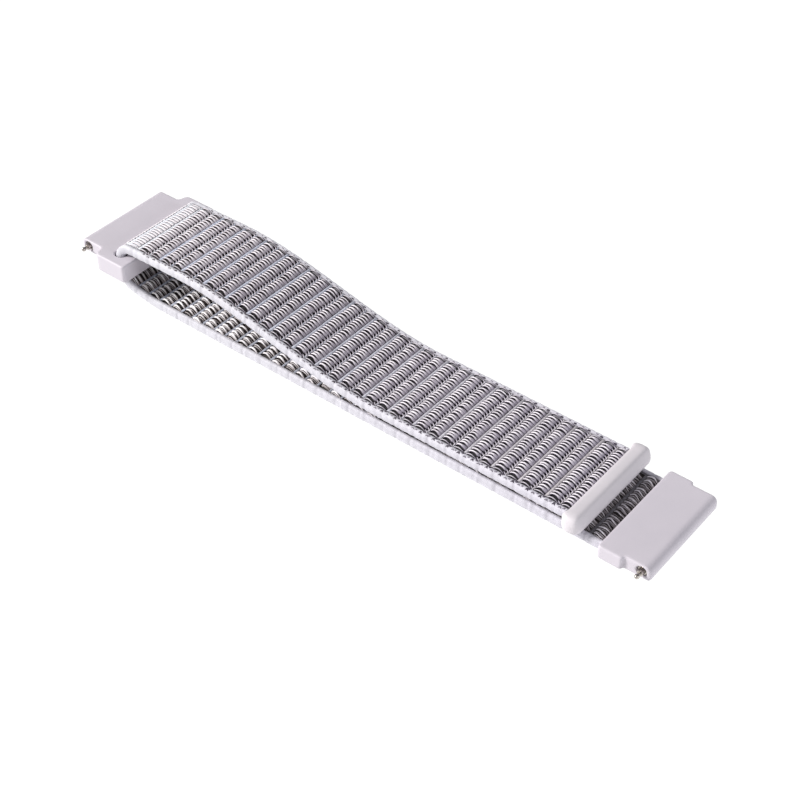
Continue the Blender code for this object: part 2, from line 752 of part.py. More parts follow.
build_webbing()
build_hook_patch()
build_tab()
build_slotted_adapter()
build_anchored_adapter()
build_spring_bar("slotted", slotted_bore_x, slotted_bore_z, lug_bottom_z)
build_spring_bar("anchored", anchored_bore_x, anchored_bore_z, 0.0)
build_joints()
shade_parts()
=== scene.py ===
import math
import bpy
import numpy as np
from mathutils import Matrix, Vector


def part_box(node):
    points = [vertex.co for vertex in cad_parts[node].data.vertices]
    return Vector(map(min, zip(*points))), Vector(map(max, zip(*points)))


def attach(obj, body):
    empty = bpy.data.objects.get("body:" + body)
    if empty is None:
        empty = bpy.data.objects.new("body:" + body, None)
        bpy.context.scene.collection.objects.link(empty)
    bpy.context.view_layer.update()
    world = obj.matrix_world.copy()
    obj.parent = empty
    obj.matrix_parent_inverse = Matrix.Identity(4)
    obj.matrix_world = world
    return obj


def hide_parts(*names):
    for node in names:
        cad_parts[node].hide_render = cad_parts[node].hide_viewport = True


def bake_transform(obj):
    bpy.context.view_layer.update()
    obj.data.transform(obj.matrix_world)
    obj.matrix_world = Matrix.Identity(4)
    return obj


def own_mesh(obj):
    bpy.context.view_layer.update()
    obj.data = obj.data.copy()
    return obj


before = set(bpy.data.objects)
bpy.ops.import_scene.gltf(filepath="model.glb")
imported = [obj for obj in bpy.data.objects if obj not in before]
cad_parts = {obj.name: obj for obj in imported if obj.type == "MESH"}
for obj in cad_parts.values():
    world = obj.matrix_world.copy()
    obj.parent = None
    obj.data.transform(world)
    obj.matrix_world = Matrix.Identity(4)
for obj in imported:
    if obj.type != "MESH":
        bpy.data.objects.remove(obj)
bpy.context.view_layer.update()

# Lengths are in millimetres until they become a mesh. The sizes of noise are in cycles per metre.
MM = 0.001
SEED = 7

# The webbing's middle line, as the solid model has it.
FLAT_LOW_Z = 1.075
RISE_START_X = -46.44
ENTRY = (-55.948, 2.438)
ENTRY_SLOPE = math.tan(math.radians(16.0))
EXIT = (-54.905, 11.3986)
EXIT_SLOPE = math.tan(math.radians(2.0))
PEAK = (-40.8, 11.645)
CLOSED_X = 8.0
FLAP_Z = 3.925
ANCHOR_X = 59.2
TAB_X = 51.7
# The two bends in the slotted adapter: centre x, centre z and radius.
LOW_BEND = (-55.5, 4.0, 1.625)
TOP_BEND = (-54.825, 9.1, 2.3)
# Where the webbing's four lengths meet.
SEAM_LOW_X = 0.0
SEAM_SLOT_Z = 6.6
SEAM_TOP_X = -20.0
# How finely the line is drawn, sampled and smoothed.
LINE_STEP = 0.05
BEND_POINTS = 120
SAMPLE_STEP = 0.02
SMOOTHING = 15

# The weave.
RIB_PITCH = 2.90
LAST_GAP_X = 47.23
# By how much the real ribs drift from an even pitch, by the gap's number from the tab.
DRIFT_NUMBERS = [-2, 0, 5, 10, 13, 16, 20, 24, 27, 30, 32, 34, 36]
DRIFTS = [0.15, 0.15, 0.38, 0.42, 0.34, 0.15, 0.20, 0.25, 0.53, 0.77, 0.70, 0.55, 0.55]
DOTTED_SHIFT = 0.05
FIRST_NUMBER = -2
# The lower layer's gaps have numbers from here on, and its first lies hidden in the anchored adapter.
LOWER_NUMBERS = 99
HIDDEN_GAP = -0.9
LEAST_RIB = 1.2
# How fully a rib left of a gap stands up, by the gap's number: those in the slot are drawn flat.
RELIEF = {34: 0.85, 35: 0.30, 36: 0.12, 37: 0.0, 38: 0.0}
# The lower layer's ribs are pressed in by this much, so that they lie on the table.
LOWER_SUNK = 0.28
FLOAT_PITCH = 0.759
FLOATS = 24
LOOP_PITCH = 1.08
# Where the lower layer's columns of loops meet, from the anchored adapter to the fold.
LOW_STRIPS = np.r_[57.2026 - 2.9026 * np.arange(24), -12.46 - 2.97 * np.arange(16)]
# The columns of loops under the flap, counted from the tab as the ribs are.
FLAP_STRIPS = range(-1, 36)

# Camera, light and floor.
LENS = 70.627
SENSOR = 36.0
NEAREST = 10
FARTHEST = 20000
CAMERA_TARGET = (6.68, -1.02, 0.0)
CAMERA_DIRECTION = (0.4678, -0.58536, 0.6622)
CAMERA_DISTANCE = 293.11
WARM_WHITE = (1.0, 0.985, 0.96)
COOL_WHITE = (0.96, 0.98, 1.0)
# Each softbox's name, place, size, power in watts and colour.
SOFTBOXES = [("key", (-1320, -1000, 1120), (480, 480), 48.0, WARM_WHITE),
             ("side", (-650, -1250, 420), (300, 300), 3.2, WARM_WHITE),
             ("fill", (900, 80, 300), (400, 300), 3.2, COOL_WHITE)]
SKY = (0.96, 0.97, 1.0, 1.0)
SKY_STRENGTH = 0.30
FLOOR_HALF = 8000
FLOOR_Z = -0.05
FLOOR_GREY = (0.10, 0.10, 0.10, 1.0)
FLOOR_GLOW = (1.0, 1.0, 1.0, 1.0)


# Camera, light and floor

def add_camera():
    data = bpy.data.cameras.new("camera")
    data.lens = LENS
    data.sensor_width = SENSOR
    data.clip_start = NEAREST * MM
    data.clip_end = FARTHEST * MM
    camera = bpy.data.objects.new("camera", data)
    bpy.context.scene.collection.objects.link(camera)
    back = Vector(CAMERA_DIRECTION).normalized()
    target = Vector(CAMERA_TARGET) * MM
    camera.location = target + back * CAMERA_DISTANCE * MM
    camera.rotation_mode = "QUATERNION"
    camera.rotation_quaternion = back.to_track_quat("Z", "Y")
    bpy.context.scene.camera = camera


def add_softbox(name, place, size, power, colour):
    data = bpy.data.lights.new(name, "AREA")
    data.shape = "RECTANGLE"
    data.size = size[0] * MM
    data.size_y = size[1] * MM
    data.energy = power
    data.color = colour
    lamp = bpy.data.objects.new(name, data)
    bpy.context.scene.collection.objects.link(lamp)
    place = Vector(place) * MM
    lamp.location = place
    lamp.rotation_mode = "QUATERNION"
    lamp.rotation_quaternion = place.to_track_quat("Z", "Y")


def add_floor():
    material = bpy.data.materials.new("studio_floor")
    material.use_nodes = True
    shader = material.node_tree.nodes["Principled BSDF"]
    shader.inputs["Base Color"].default_value = FLOOR_GREY
    shader.inputs["Roughness"].default_value = 0.9
    shader.inputs["Specular IOR Level"].default_value = 0.0
    shader.inputs["Emission Color"].default_value = FLOOR_GLOW
    shader.inputs["Emission Strength"].default_value = 1.0
    mesh = bpy.data.meshes.new("studio_floor")
    half = FLOOR_HALF * MM
    low = FLOOR_Z * MM
    corners = [(-half, -half, low), (half, -half, low), (half, half, low), (-half, half, low)]
    mesh.from_pydata(corners, [], [(0, 1, 2, 3)])
    mesh.materials.append(material)
    floor = bpy.data.objects.new("studio_floor", mesh)
    bpy.context.scene.collection.objects.link(floor)


def add_studio():
    scene = bpy.context.scene
    scene.view_settings.view_transform = "Standard"
    world = bpy.data.worlds.new("studio")
    scene.world = world
    world.use_nodes = True
    background = world.node_tree.nodes["Background"]
    background.inputs["Color"].default_value = SKY
    background.inputs["Strength"].default_value = SKY_STRENGTH
    for softbox in SOFTBOXES:
        add_softbox(*softbox)
    add_floor()


# Materials

class Surface:
    """A Principled material with a few chained nodes."""

    def __init__(self, name, roughness, specular=0.5, sheen=0.0, metallic=0.0):
        self.material = bpy.data.materials.new(name)
        self.material.use_nodes = True
        self.nodes = self.material.node_tree.nodes
        self.links = self.material.node_tree.links
        self.shader = self.nodes["Principled BSDF"]
        self.shader.inputs["Roughness"].default_value = roughness
        self.shader.inputs["Specular IOR Level"].default_value = specular
        self.shader.inputs["Sheen Weight"].default_value = sheen
        self.shader.inputs["Metallic"].default_value = metallic
        self.place = self.nodes.new("ShaderNodeTexCoord").outputs["Object"]
        self.height = None

    def noise(self, stretch, detail=2.0):
        mapping = self.nodes.new("ShaderNodeMapping")
        mapping.inputs["Scale"].default_value = stretch
        self.links.new(self.place, mapping.inputs["Vector"])
        texture = self.nodes.new("ShaderNodeTexNoise")
        texture.inputs["Scale"].default_value = 1.0
        texture.inputs["Detail"].default_value = detail
        self.links.new(mapping.outputs["Vector"], texture.inputs["Vector"])
        return texture.outputs["Fac"]

    def ramp(self, value, stops):
        ramp = self.nodes.new("ShaderNodeValToRGB")
        elements = ramp.color_ramp.elements
        while len(elements) < len(stops):
            elements.new(0.5)
        for element, (position, colour) in zip(elements, stops):
            element.position = position
            element.color = (*colour, 1.0)
        self.links.new(value, ramp.inputs["Fac"])
        return ramp.outputs["Color"]

    def attribute(self, name):
        node = self.nodes.new("ShaderNodeAttribute")
        node.attribute_name = name
        return node.outputs["Fac"]

    def along(self, first, last):
        """From 0 at one X to 1 at another, in millimetres."""
        axes = self.nodes.new("ShaderNodeSeparateXYZ")
        self.links.new(self.place, axes.inputs["Vector"])
        remap = self.nodes.new("ShaderNodeMapRange")
        remap.inputs["From Min"].default_value = first * MM
        remap.inputs["From Max"].default_value = last * MM
        self.links.new(axes.outputs["X"], remap.inputs["Value"])
        return remap.outputs["Result"]

    def mix(self, first, second, share=None, blend="MIX"):
        node = self.nodes.new("ShaderNodeMix")
        node.data_type = "RGBA"
        node.blend_type = blend
        node.inputs[0].default_value = 1.0
        if share is not None:
            self.links.new(share, node.inputs[0])
        self.links.new(first, node.inputs[6])
        self.links.new(second, node.inputs[7])
        return node.outputs[2]

    def colour(self, output):
        self.links.new(output, self.shader.inputs["Base Color"])

    def roughness(self, value, low, high):
        remap = self.nodes.new("ShaderNodeMapRange")
        remap.inputs["To Min"].default_value = low
        remap.inputs["To Max"].default_value = high
        self.links.new(value, remap.inputs["Value"])
        self.links.new(remap.outputs["Result"], self.shader.inputs["Roughness"])

    def bump(self, value, depth, strength):
        bump = self.nodes.new("ShaderNodeBump")
        bump.inputs["Strength"].default_value = strength
        bump.inputs["Distance"].default_value = depth * MM
        self.links.new(value, bump.inputs["Height"])
        if self.height is not None:
            self.links.new(self.height, bump.inputs["Normal"])
        self.height = bump.outputs["Normal"]
        self.links.new(self.height, self.shader.inputs["Normal"])


MOTTLE = (160, 160, 160)
GLOSS_PATCHES = (900, 900, 900)
GRAIN = (7000, 7000, 7000)
GRAIN_DEPTH = 0.008
BRUSHING = (500, 6000, 500)
BRUSHING_DEPTH = 0.004
DARK_STEEL = (0.24, 0.21, 0.19)
LIGHT_STEEL = (0.62, 0.58, 0.54)
# A yarn's colour goes from its left to its right one between these places.
LEFT_TONE_X = -50
RIGHT_TONE_X = 45


def plastic(name, light, dark):
    surface = Surface(name, roughness=0.42, specular=0.4)
    mottle = surface.noise(MOTTLE, detail=3.0)
    surface.colour(surface.ramp(mottle, [(0.3, dark), (0.7, light)]))
    surface.roughness(surface.noise(GLOSS_PATCHES), low=0.38, high=0.5)
    surface.bump(surface.noise(GRAIN, detail=1.0), GRAIN_DEPTH, strength=0.5)
    return surface.material


def yarn(name, left, right, stretch, depth, worn=0.78):
    """A yarn whose colour follows the mesh's shade value (mostly painted shade), from one end of the strap
    to the other.
    """
    surface = Surface(name, roughness=0.6, specular=0.25, sheen=0.1)
    shade = surface.attribute("shade")
    tone = surface.mix(surface.ramp(shade, left), surface.ramp(shade, right),
                       surface.along(LEFT_TONE_X, RIGHT_TONE_X))
    filaments = surface.noise(stretch, detail=2.0)
    streaks = surface.ramp(filaments, [(0.35, (worn, worn, worn)), (0.62, (1.0, 1.0, 1.0))])
    surface.colour(surface.mix(tone, streaks, blend="MULTIPLY"))
    surface.bump(filaments, depth, strength=0.8)
    return surface.material


def steel(name):
    surface = Surface(name, roughness=0.25, metallic=1.0)
    brushing = surface.noise(BRUSHING, detail=2.0)
    surface.colour(surface.ramp(brushing, [(0.3, DARK_STEEL), (0.7, LIGHT_STEEL)]))
    surface.roughness(brushing, low=0.18, high=0.34)
    surface.bump(brushing, BRUSHING_DEPTH, strength=0.4)
    return surface.material


def fading(*colours):
    """A ramp's stops, evenly spaced from shade 0 to shade 1."""
    return [(number / (len(colours) - 1), colour) for number, colour in enumerate(colours)]


def plain(colour):
    return fading(colour, colour)


# The webbing's middle line

def low_z(x):
    rise_length = RISE_START_X - ENTRY[0]
    return FLAT_LOW_Z + np.maximum(RISE_START_X - x, 0) ** 2 * ENTRY_SLOPE / (2 * rise_length)


def top_z(x):
    before = PEAK[1] - (PEAK[0] - x) ** 2 * EXIT_SLOPE / (2 * (PEAK[0] - EXIT[0]))
    share = np.clip((x - PEAK[0]) / (CLOSED_X - PEAK[0]), 0, 1)
    after = PEAK[1] + (FLAP_Z - PEAK[1]) * share ** 2 * (3 - 2 * share)
    return np.where(x < PEAK[0], before, after)


def bend(centre_x, centre_z, radius, first, last):
    angles = np.radians(np.linspace(first, last, BEND_POINTS))
    return np.stack([centre_x + radius * np.cos(angles), centre_z + radius * np.sin(angles)], 1)


def angle_on(circle, place):
    return math.degrees(math.atan2(place[1] - circle[1], place[0] - circle[0]))


def smooth(values):
    kernel = np.ones(SMOOTHING) / SMOOTHING
    return np.convolve(np.pad(values, SMOOTHING // 2, "edge"), kernel, "valid")


class Centreline:
    """The webbing's middle line by arc length, from the anchored adapter round the slot to the tab."""

    def __init__(self):
        low_x = np.arange(ANCHOR_X, ENTRY[0], -LINE_STEP)
        flap_x = np.arange(EXIT[0], TAB_X, LINE_STEP)
        straight_z = np.arange(LOW_BEND[1] + LINE_STEP, TOP_BEND[1], LINE_STEP)
        slot_x = LOW_BEND[0] - LOW_BEND[2]
        pieces = [np.stack([low_x, low_z(low_x)], 1),
                  bend(*LOW_BEND, angle_on(LOW_BEND, ENTRY), -180.0),
                  np.stack([np.full_like(straight_z, slot_x), straight_z], 1),
                  bend(*TOP_BEND, 180.0, angle_on(TOP_BEND, EXIT))[:-1],
                  np.stack([flap_x, top_z(flap_x)], 1)]
        line = np.concatenate(pieces)
        lengths = np.r_[0, np.cumsum(np.hypot(*np.diff(line, axis=0).T))]
        self.length = lengths[-1]
        self.s = np.arange(0, self.length, SAMPLE_STEP)
        self.x = np.interp(self.s, lengths, line[:, 0])
        self.z = np.interp(self.s, lengths, line[:, 1])
        tx = smooth(np.gradient(self.x))
        tz = smooth(np.gradient(self.z))
        size = np.hypot(tx, tz)
        self.nx = -tz / size
        self.nz = tx / size
        self.turn = int(np.argmin(self.x))

    def at_low(self, x):
        return float(np.interp(-x, -self.x[:self.turn], self.s[:self.turn]))

    def at_top(self, x):
        return float(np.interp(x, self.x[self.turn:], self.s[self.turn:]))

    def in_slot(self, z):
        near = (self.x < EXIT[0]) & (self.z > ENTRY[1] + 1) & (self.z < EXIT[1] - 1)
        return float(np.interp(z, self.z[near], self.s[near]))

    def place(self, s, y, h):
        """Points at arc length s, y across and h out along the ribbed side's normal."""
        s, y, h = np.broadcast_arrays(s, y, h)
        x = np.interp(s, self.s, self.x) + h * np.interp(s, self.s, self.nx)
        z = np.interp(s, self.s, self.z) + h * np.interp(s, self.s, self.nz)
        return np.stack([x, y, z], -1)


line = Centreline()
random = np.random.default_rng(SEED)

S_ANCHOR = 0.0
S_SEAM_LOW = line.at_low(SEAM_LOW_X)
S_SLOT = line.in_slot(SEAM_SLOT_Z)
S_SEAM_TOP = line.at_top(SEAM_TOP_X)
S_END = line.length
S_LAST_GAP = line.at_top(LAST_GAP_X)
INNER_STRIPS = np.array([line.at_low(x) for x in LOW_STRIPS] +
                        [S_LAST_GAP - RIB_PITCH * (number + 0.5) for number in FLAP_STRIPS])


# The ribs' places

def rib_gaps():
    """Arc lengths of the gaps between ribs, whether each gap is dotted, and its number."""
    gaps = []
    first = int(math.floor((S_LAST_GAP - S_SLOT) / RIB_PITCH))
    for number in range(first, FIRST_NUMBER - 1, -1):
        dotted = number % 2 == 0
        drift = float(np.interp(number, DRIFT_NUMBERS, DRIFTS))
        shift = DOTTED_SHIFT if dotted else -DOTTED_SHIFT
        gaps.append((S_LAST_GAP - RIB_PITCH * number + drift + shift, dotted, number))
    low = [(HIDDEN_GAP, False, LOWER_NUMBERS)]
    for number, x in enumerate(LOW_STRIPS):
        place = line.at_low(x)
        if x > LOW_BEND[0] and place < gaps[0][0] - LEAST_RIB:
            low.append((place, number % 2 == 0, LOWER_NUMBERS + 1 + number))
    return low + gaps


GAPS = rib_gaps()


def relief(number):
    return RELIEF.get(number, 1.0)


def sunk(number):
    return LOWER_SUNK if number >= LOWER_NUMBERS else 0.0


# Meshes

def new_object(name, points, faces, materials, indices=None, shades=None):
    mesh = bpy.data.meshes.new(name)
    mesh.from_pydata([tuple(point) for point in np.asarray(points) * MM], [], faces)
    for material in materials:
        mesh.materials.append(material)
    if indices is not None:
        mesh.polygons.foreach_set("material_index", indices)
    if shades is not None:
        mesh.attributes.new("shade", "FLOAT", "POINT").data.foreach_set("value", np.asarray(shades, float))
    mesh.polygons.foreach_set("use_smooth", [True] * len(mesh.polygons))
    mesh.update()
    made = bpy.data.objects.new(name, mesh)
    bpy.context.scene.collection.objects.link(made)
    return made


# The webbing's body

BAND, BED, EDGE, PILE_BED, PILE_STRIP, PALE = range(6)
# The ribbed face under the floats: distance from the gap, height and finish.
RIB_GROUND = [(0.68, 0.44, BED), (1.0, 0.44, BED), (1.5, 0.52, BED), (2.0, 0.46, BED), (2.5, 0.40, BED)]
PLAIN_GROUND = [(0.0, 0.56, BED), (0.04, 0.64, BAND), (0.10, 0.76, BAND), (0.22, 0.84, BAND),
                (0.42, 0.86, BAND), (0.60, 0.80, BAND)] + RIB_GROUND
DOTTED_GROUND = [(0.0, 0.40, BED), (0.14, 0.44, BED), (0.20, 0.62, BAND), (0.28, 0.70, BAND),
                 (0.42, 0.74, BAND), (0.56, 0.70, BAND)] + RIB_GROUND
# Where ribs are drawn flat, the ground goes towards this height, a little later than they do.
FLAT_GROUND = 0.9
GROUND_LAG = 1.2
# Beyond this gap, towards the slot, the bands are pale, and where the ground stands lower, all of it is.
LAST_COLOURED = 33
PALE_BELOW = 0.7
# The inner face: the pale strips between the columns of loops, and the bed under the loops.
STRIP_EDGES = (-0.36, -0.26, 0.26, 0.36)
STRIP_HALF = 0.30
STRIP_HEIGHT = 0.76
PILE_HEIGHT = 0.44
LEAST_STEP = 0.02
# Across the two faces, between the selvedges.
ACROSS = [8.98, 6.0, 3.0, 0.0, -3.0, -6.0, -8.98]
# The selvedge in section, from the ribbed face round to the loop face: across from the centre, height and
# shade. The low shades at its feet, where it meets the faces, and the slightly lower ones on its underside
# are painted shade.
SELVEDGE = [(9.06, 0.72, 0.2), (9.22, 0.86, 0.85), (9.5, 0.97, 1.0), (9.78, 0.98, 1.0),
            (9.97, 0.86, 1.0), (10.08, 0.58, 1.0), (10.12, 0.2, 0.96), (10.12, -0.2, 0.94),
            (10.08, -0.58, 0.92), (9.97, -0.84, 0.95), (9.78, -0.96, 1.0), (9.5, -0.96, 1.0),
            (9.22, -0.84, 0.85), (9.06, -0.7, 0.2)]
SELVEDGE_START = 9.06
SELVEDGE_WIDTH = 1.06
# Where a stitch draws the selvedge in: by how much of its width, height and shade, and how often. The
# darkening in the dent is painted shade.
DENT_WIDTH = 0.09
DENT_HEIGHT = 0.07
DENT_SHADE = 0.16
DENT_PITCH = RIB_PITCH / 2
# Where the webbing turns out of the slot its near edge spreads: the height there, the distance after it,
# how far and over what length it spreads, and how much it thins.
FLARE_Z = 9.0
FLARE_AFTER = 0.6
FLARE_SPREAD = 0.62
FLARE_LENGTH = 1.7
FLARE_THINNING = 0.16
S_FLARE = line.in_slot(FLARE_Z) + FLARE_AFTER


def dented(s, side):
    """How far the selvedge is drawn in, from 0 to 1: twice in each pitch, not quite evenly."""
    phase = 2 * math.pi * (s - S_LAST_GAP) / DENT_PITCH + 0.6 * side
    size = 0.6 + 0.4 * math.sin(1.7 * s + 2.0 * side)
    return size * (0.5 + 0.5 * math.cos(phase + 0.9 * math.sin(0.37 * s + side)))


def flare(s):
    """How far the near edge spreads where the webbing turns out of the slot."""
    return FLARE_SPREAD * math.exp(-((s - S_FLARE) / FLARE_LENGTH) ** 2)


def ring(s, height, inner_height):
    """One closed section of the webbing's body, from the far edge over the ribbed face and back."""
    section = [(y, height, 0.5) for y in ACROSS]
    sides = []
    for side in (-1, 1):
        dent = dented(s, side)
        spread = flare(s) if side < 0 else 0.0
        edge = []
        for y, h, shade in SELVEDGE:
            reach = (y - SELVEDGE_START) / SELVEDGE_WIDTH
            y += reach * (spread - DENT_WIDTH * dent)
            h *= 1.0 - DENT_HEIGHT * dent * reach - FLARE_THINNING * spread * reach
            edge.append((side * y, h, shade * (1.0 - DENT_SHADE * dent ** 2)))
        sides.append(edge)
    section += sides[0]
    section += [(y, -inner_height, 0.5) for y in reversed(ACROSS)]
    section += list(reversed(sides[1]))
    return section


def body_stations(first, last):
    """Arc lengths of the sections, with the outer face's height and finish at each."""
    stations = []
    for (gap, dotted, left), (following, _, number) in zip(GAPS, GAPS[1:]):
        stands = min(relief(number) * GROUND_LAG, 1.0)
        for away, height, finish in DOTTED_GROUND if dotted else PLAIN_GROUND:
            s = gap + away * (following - gap) / RIB_PITCH
            height -= sunk(number)
            if LAST_COLOURED < left < LOWER_NUMBERS:
                finish = PALE if finish == BAND or stands < PALE_BELOW else finish
            stations.append((s, FLAT_GROUND + (height - FLAT_GROUND) * stands, finish))
    places = np.array([station[0] for station in stations])
    heights = np.array([station[1] for station in stations])
    for strip in INNER_STRIPS:
        for away in STRIP_EDGES:
            nearest = min(stations, key=lambda station: abs(station[0] + LEAST_STEP - strip - away))
            stations.append((strip + away, float(np.interp(strip + away, places, heights)), nearest[2]))
    stations.sort(key=lambda station: station[0])
    kept = [station for station in stations if first + LEAST_STEP < station[0] < last - LEAST_STEP]
    ends = [(end, float(np.interp(end, places, heights)), BED) for end in (first, last)]
    return [ends[0]] + kept + [ends[1]]


def inner_face(s):
    """Height and finish of the ground under the loops."""
    away = float(np.abs(INNER_STRIPS - s).min())
    if away < STRIP_HALF:
        return STRIP_HEIGHT, PILE_STRIP
    return PILE_HEIGHT, PILE_BED


def webbing_body(name, first, last, materials):
    stations = body_stations(first, last)
    points, shades, faces, indices = [], [], [], []
    for s, height, _ in stations:
        section = np.array(ring(s, height, inner_face(s)[0]))
        count = len(section)
        points.append(line.place(np.full(count, s), section[:, 0], section[:, 1]))
        shades.append(section[:, 2])
    face_columns = len(ACROSS) - 1
    inner_start = len(ACROSS) + len(SELVEDGE)
    for row in range(len(stations) - 1):
        inner_finish = inner_face(0.5 * (stations[row][0] + stations[row + 1][0]))[1]
        for column in range(count):
            following = (column + 1) % count
            low, high = row * count, (row + 1) * count
            faces.append((low + column, low + following, high + following, high + column))
            if column < face_columns:
                indices.append(stations[row][2])
            elif inner_start <= column < inner_start + face_columns:
                indices.append(inner_finish)
            else:
                indices.append(EDGE)
    last_row = (len(stations) - 1) * count
    faces += [tuple(range(count)), tuple(last_row + column for column in reversed(range(count)))]
    indices += [EDGE, EDGE]
    return new_object(name, np.concatenate(points), faces, materials, indices, np.concatenate(shades))


# Strands: floats, crossings, stitch marks with painted hole shade, loops and hooks

class Strands:
    """Many short arched strands, gathered into one mesh."""

    # Round a strand from one side over its crest to the other.
    ANGLES = np.radians([-58, -22, 14, 52, 90, 128, 166, 202, 238])
    FADE = 0.5

    def __init__(self, wrap, least):
        """The strands' sides fade in painted shade to the darkness of the ground between them, the later the
        larger wrap is.
        """
        self.wrap = wrap
        self.least = least
        self.points = []
        self.shades = []
        self.faces = []
        self.count = 0

    def add(self, ss, ys, hs, widths, depths, shades, side):
        """A strand through (ss, ys, hs), open beneath, that bulges out of the face of sign side."""
        cos, sin = np.cos(self.ANGLES), np.sin(self.ANGLES)
        rows, columns = len(ss), len(self.ANGLES)
        y = ys[:, None] + widths[:, None] * cos
        h = hs[:, None] + depths[:, None] * sin * side
        self.points.append(line.place(np.repeat(ss[:, None], columns, 1), y, h).reshape(-1, 3))
        # Painted shade on each strand's sides and underside, where its neighbours and the ground would
        # shadow it.
        lit = np.clip((sin + self.wrap) / self.FADE, self.least, 1)
        self.shades.append((shades[:, None] * lit).reshape(-1))
        for row in range(rows - 1):
            for column in range(columns - 1):
                a = self.count + row * columns + column
                quad = (a, a + columns, a + columns + 1, a + 1)
                self.faces.append(quad if side > 0 else quad[::-1])
        self.count += rows * columns

    def finish(self, name, material):
        return new_object(name, np.concatenate(self.points), self.faces, [material], None,
                          np.concatenate(self.shades))


# Places along a float or a loop, as shares of its length.
SHARES = np.array([0.0, 0.06, 0.13, 0.22, 0.33, 0.45, 0.58, 0.71, 0.83, 0.93, 1.0])


def arch(early, full):
    """Heights from 0 to 1 and back over the shares, steepest at the start when early is below 1."""
    return np.sin(math.pi * SHARES ** early) ** full


def rising(start, length, lead=0.0):
    """From 0 to 1 over a stretch of the shares."""
    return np.clip((SHARES - start + lead) / length, 0, 1)


# A rib's floats, when the gap at their end is plain and when it is dotted: how far they start after one
# gap and end after the next, their half-width, and how much higher and further out the outermost ones lie.
PLAIN_RIB = (0.65, 0.02, 0.17, -0.10, 0.10)
DOTTED_RIB = (0.60, -0.06, 0.18, 0.10, 0.24)
FLOAT_FOOT = 0.52
FLOAT_CREST = 1.06
FLOAT_DEPTH = 0.24
FLOAT_ARCH = arch(0.86, 0.8)
# A float is narrow over this share, with a dark slit beside it, and then spreads to meet its neighbours.
OPEN_SHARE = 0.55
SPREADING_SHARE = 0.30
SPREAD_WIDTH = 0.44
# It darkens as it spreads, but less near the slot, and again at its end: painted shade for its far side and
# for the groove at its foot.
SPREAD_FADE = 0.44
NEAR_SLOT_LESS = 0.20
NEAR_SLOT_START = 26
NEAR_SLOT_GAPS = 7
FADE_LEAD = 0.05
END_FADE = 0.18
END_FADE_SHARES = (0.86, 0.12)
# At a dotted gap its end narrows again.
END_NARROWING = 0.26
END_NARROWING_SHARES = (0.88, 0.10)
# The floats differ in place, half-width, open share, height and brightness.
FLOAT_STRAY = 0.05
FLOAT_WIDTH_VARIES = 0.024
OPEN_SHARE_VARIES = 0.09
FLOAT_HEIGHT_VARIES = 0.03
FLOAT_SHADE = 0.97
FLOAT_SHADE_VARIES = 0.05
FLOAT_LEAN = 0.06
# The rib sways a little along the webbing from float to float.
SWAY = 0.05
SWAY_RATE = 0.9
SWAY_VARIES = 0.03
# The outermost float, half hidden by the selvedge.
RIM_WIDTH = 0.12
RIM_DEPTH = 0.11
RIM_SHADE = 0.85
# A float that is drawn flat in the slot.
LEAST_RELIEF = 0.1
FLAT_LEVEL = 0.78
FLAT_DEPTH = 0.55
STANDING_DEPTH = 0.45
FLAT_WIDENING = 0.05
FLAT_WIDTH = 0.34


def add_ribs(strands, first, last):
    """The warp floats of every rib whose middle lies between first and last."""
    for (gap, _, _), (following, dotted, number) in zip(GAPS, GAPS[1:]):
        stands = relief(number)
        on_flap = number < LOWER_NUMBERS
        near_slot = float(np.clip((number - NEAR_SLOT_START) / NEAR_SLOT_GAPS, 0, 1)) if on_flap else 0.0
        after, past, half_width, rim_rise, rim_shift = DOTTED_RIB if dotted else PLAIN_RIB
        start = gap + after
        end = following + past
        if stands < LEAST_RELIEF or not first < 0.5 * (start + end) < last:
            continue
        for index in range(FLOATS):
            slack = random.normal(0, 1)
            y = (index - 0.5 * (FLOATS - 1)) * FLOAT_PITCH + random.normal(0, FLOAT_STRAY)
            crest = FLOAT_CREST + FLOAT_HEIGHT_VARIES * slack
            narrow = half_width + random.normal(0, FLOAT_WIDTH_VARIES)
            open_share = OPEN_SHARE + random.normal(0, OPEN_SHARE_VARIES)
            widths = narrow + (SPREAD_WIDTH - narrow) * rising(open_share, SPREADING_SHARE)
            if dotted:
                widths = widths - END_NARROWING * rising(*END_NARROWING_SHARES)
            # Painted shade along the float.
            fade = SPREAD_FADE - NEAR_SLOT_LESS * near_slot
            shades = 1.0 - fade * rising(open_share, SPREADING_SHARE, FADE_LEAD)
            shades = shades - END_FADE * rising(*END_FADE_SHARES)
            shades = shades * (FLOAT_SHADE + FLOAT_SHADE_VARIES * slack)
            depths = np.full_like(widths, FLOAT_DEPTH)
            if index in (0, FLOATS - 1):
                crest += rim_rise
                widths = np.full_like(widths, RIM_WIDTH)
                depths = np.full_like(widths, RIM_DEPTH)
                shades = shades * RIM_SHADE
                y += math.copysign(rim_shift, y)
            level = FLOAT_FOOT + (crest - FLOAT_FOOT) * FLOAT_ARCH - sunk(number)
            if stands < 1:
                level = FLAT_LEVEL + (level - FLAT_LEVEL) * stands
                depths = depths * (FLAT_DEPTH + STANDING_DEPTH * stands)
                shades = 1.0 - (1.0 - shades) * stands
                widths = np.minimum(widths + FLAT_WIDENING, FLAT_WIDTH)
            sway = SWAY * np.sin(SWAY_RATE * y + number) + SWAY_VARIES * slack
            s = start + sway + (end - start) * SHARES
            leaning = FLOAT_LEAN * (SHARES - 0.5)
            strands.add(s, y + leaning, level, widths, depths, shades, 1)


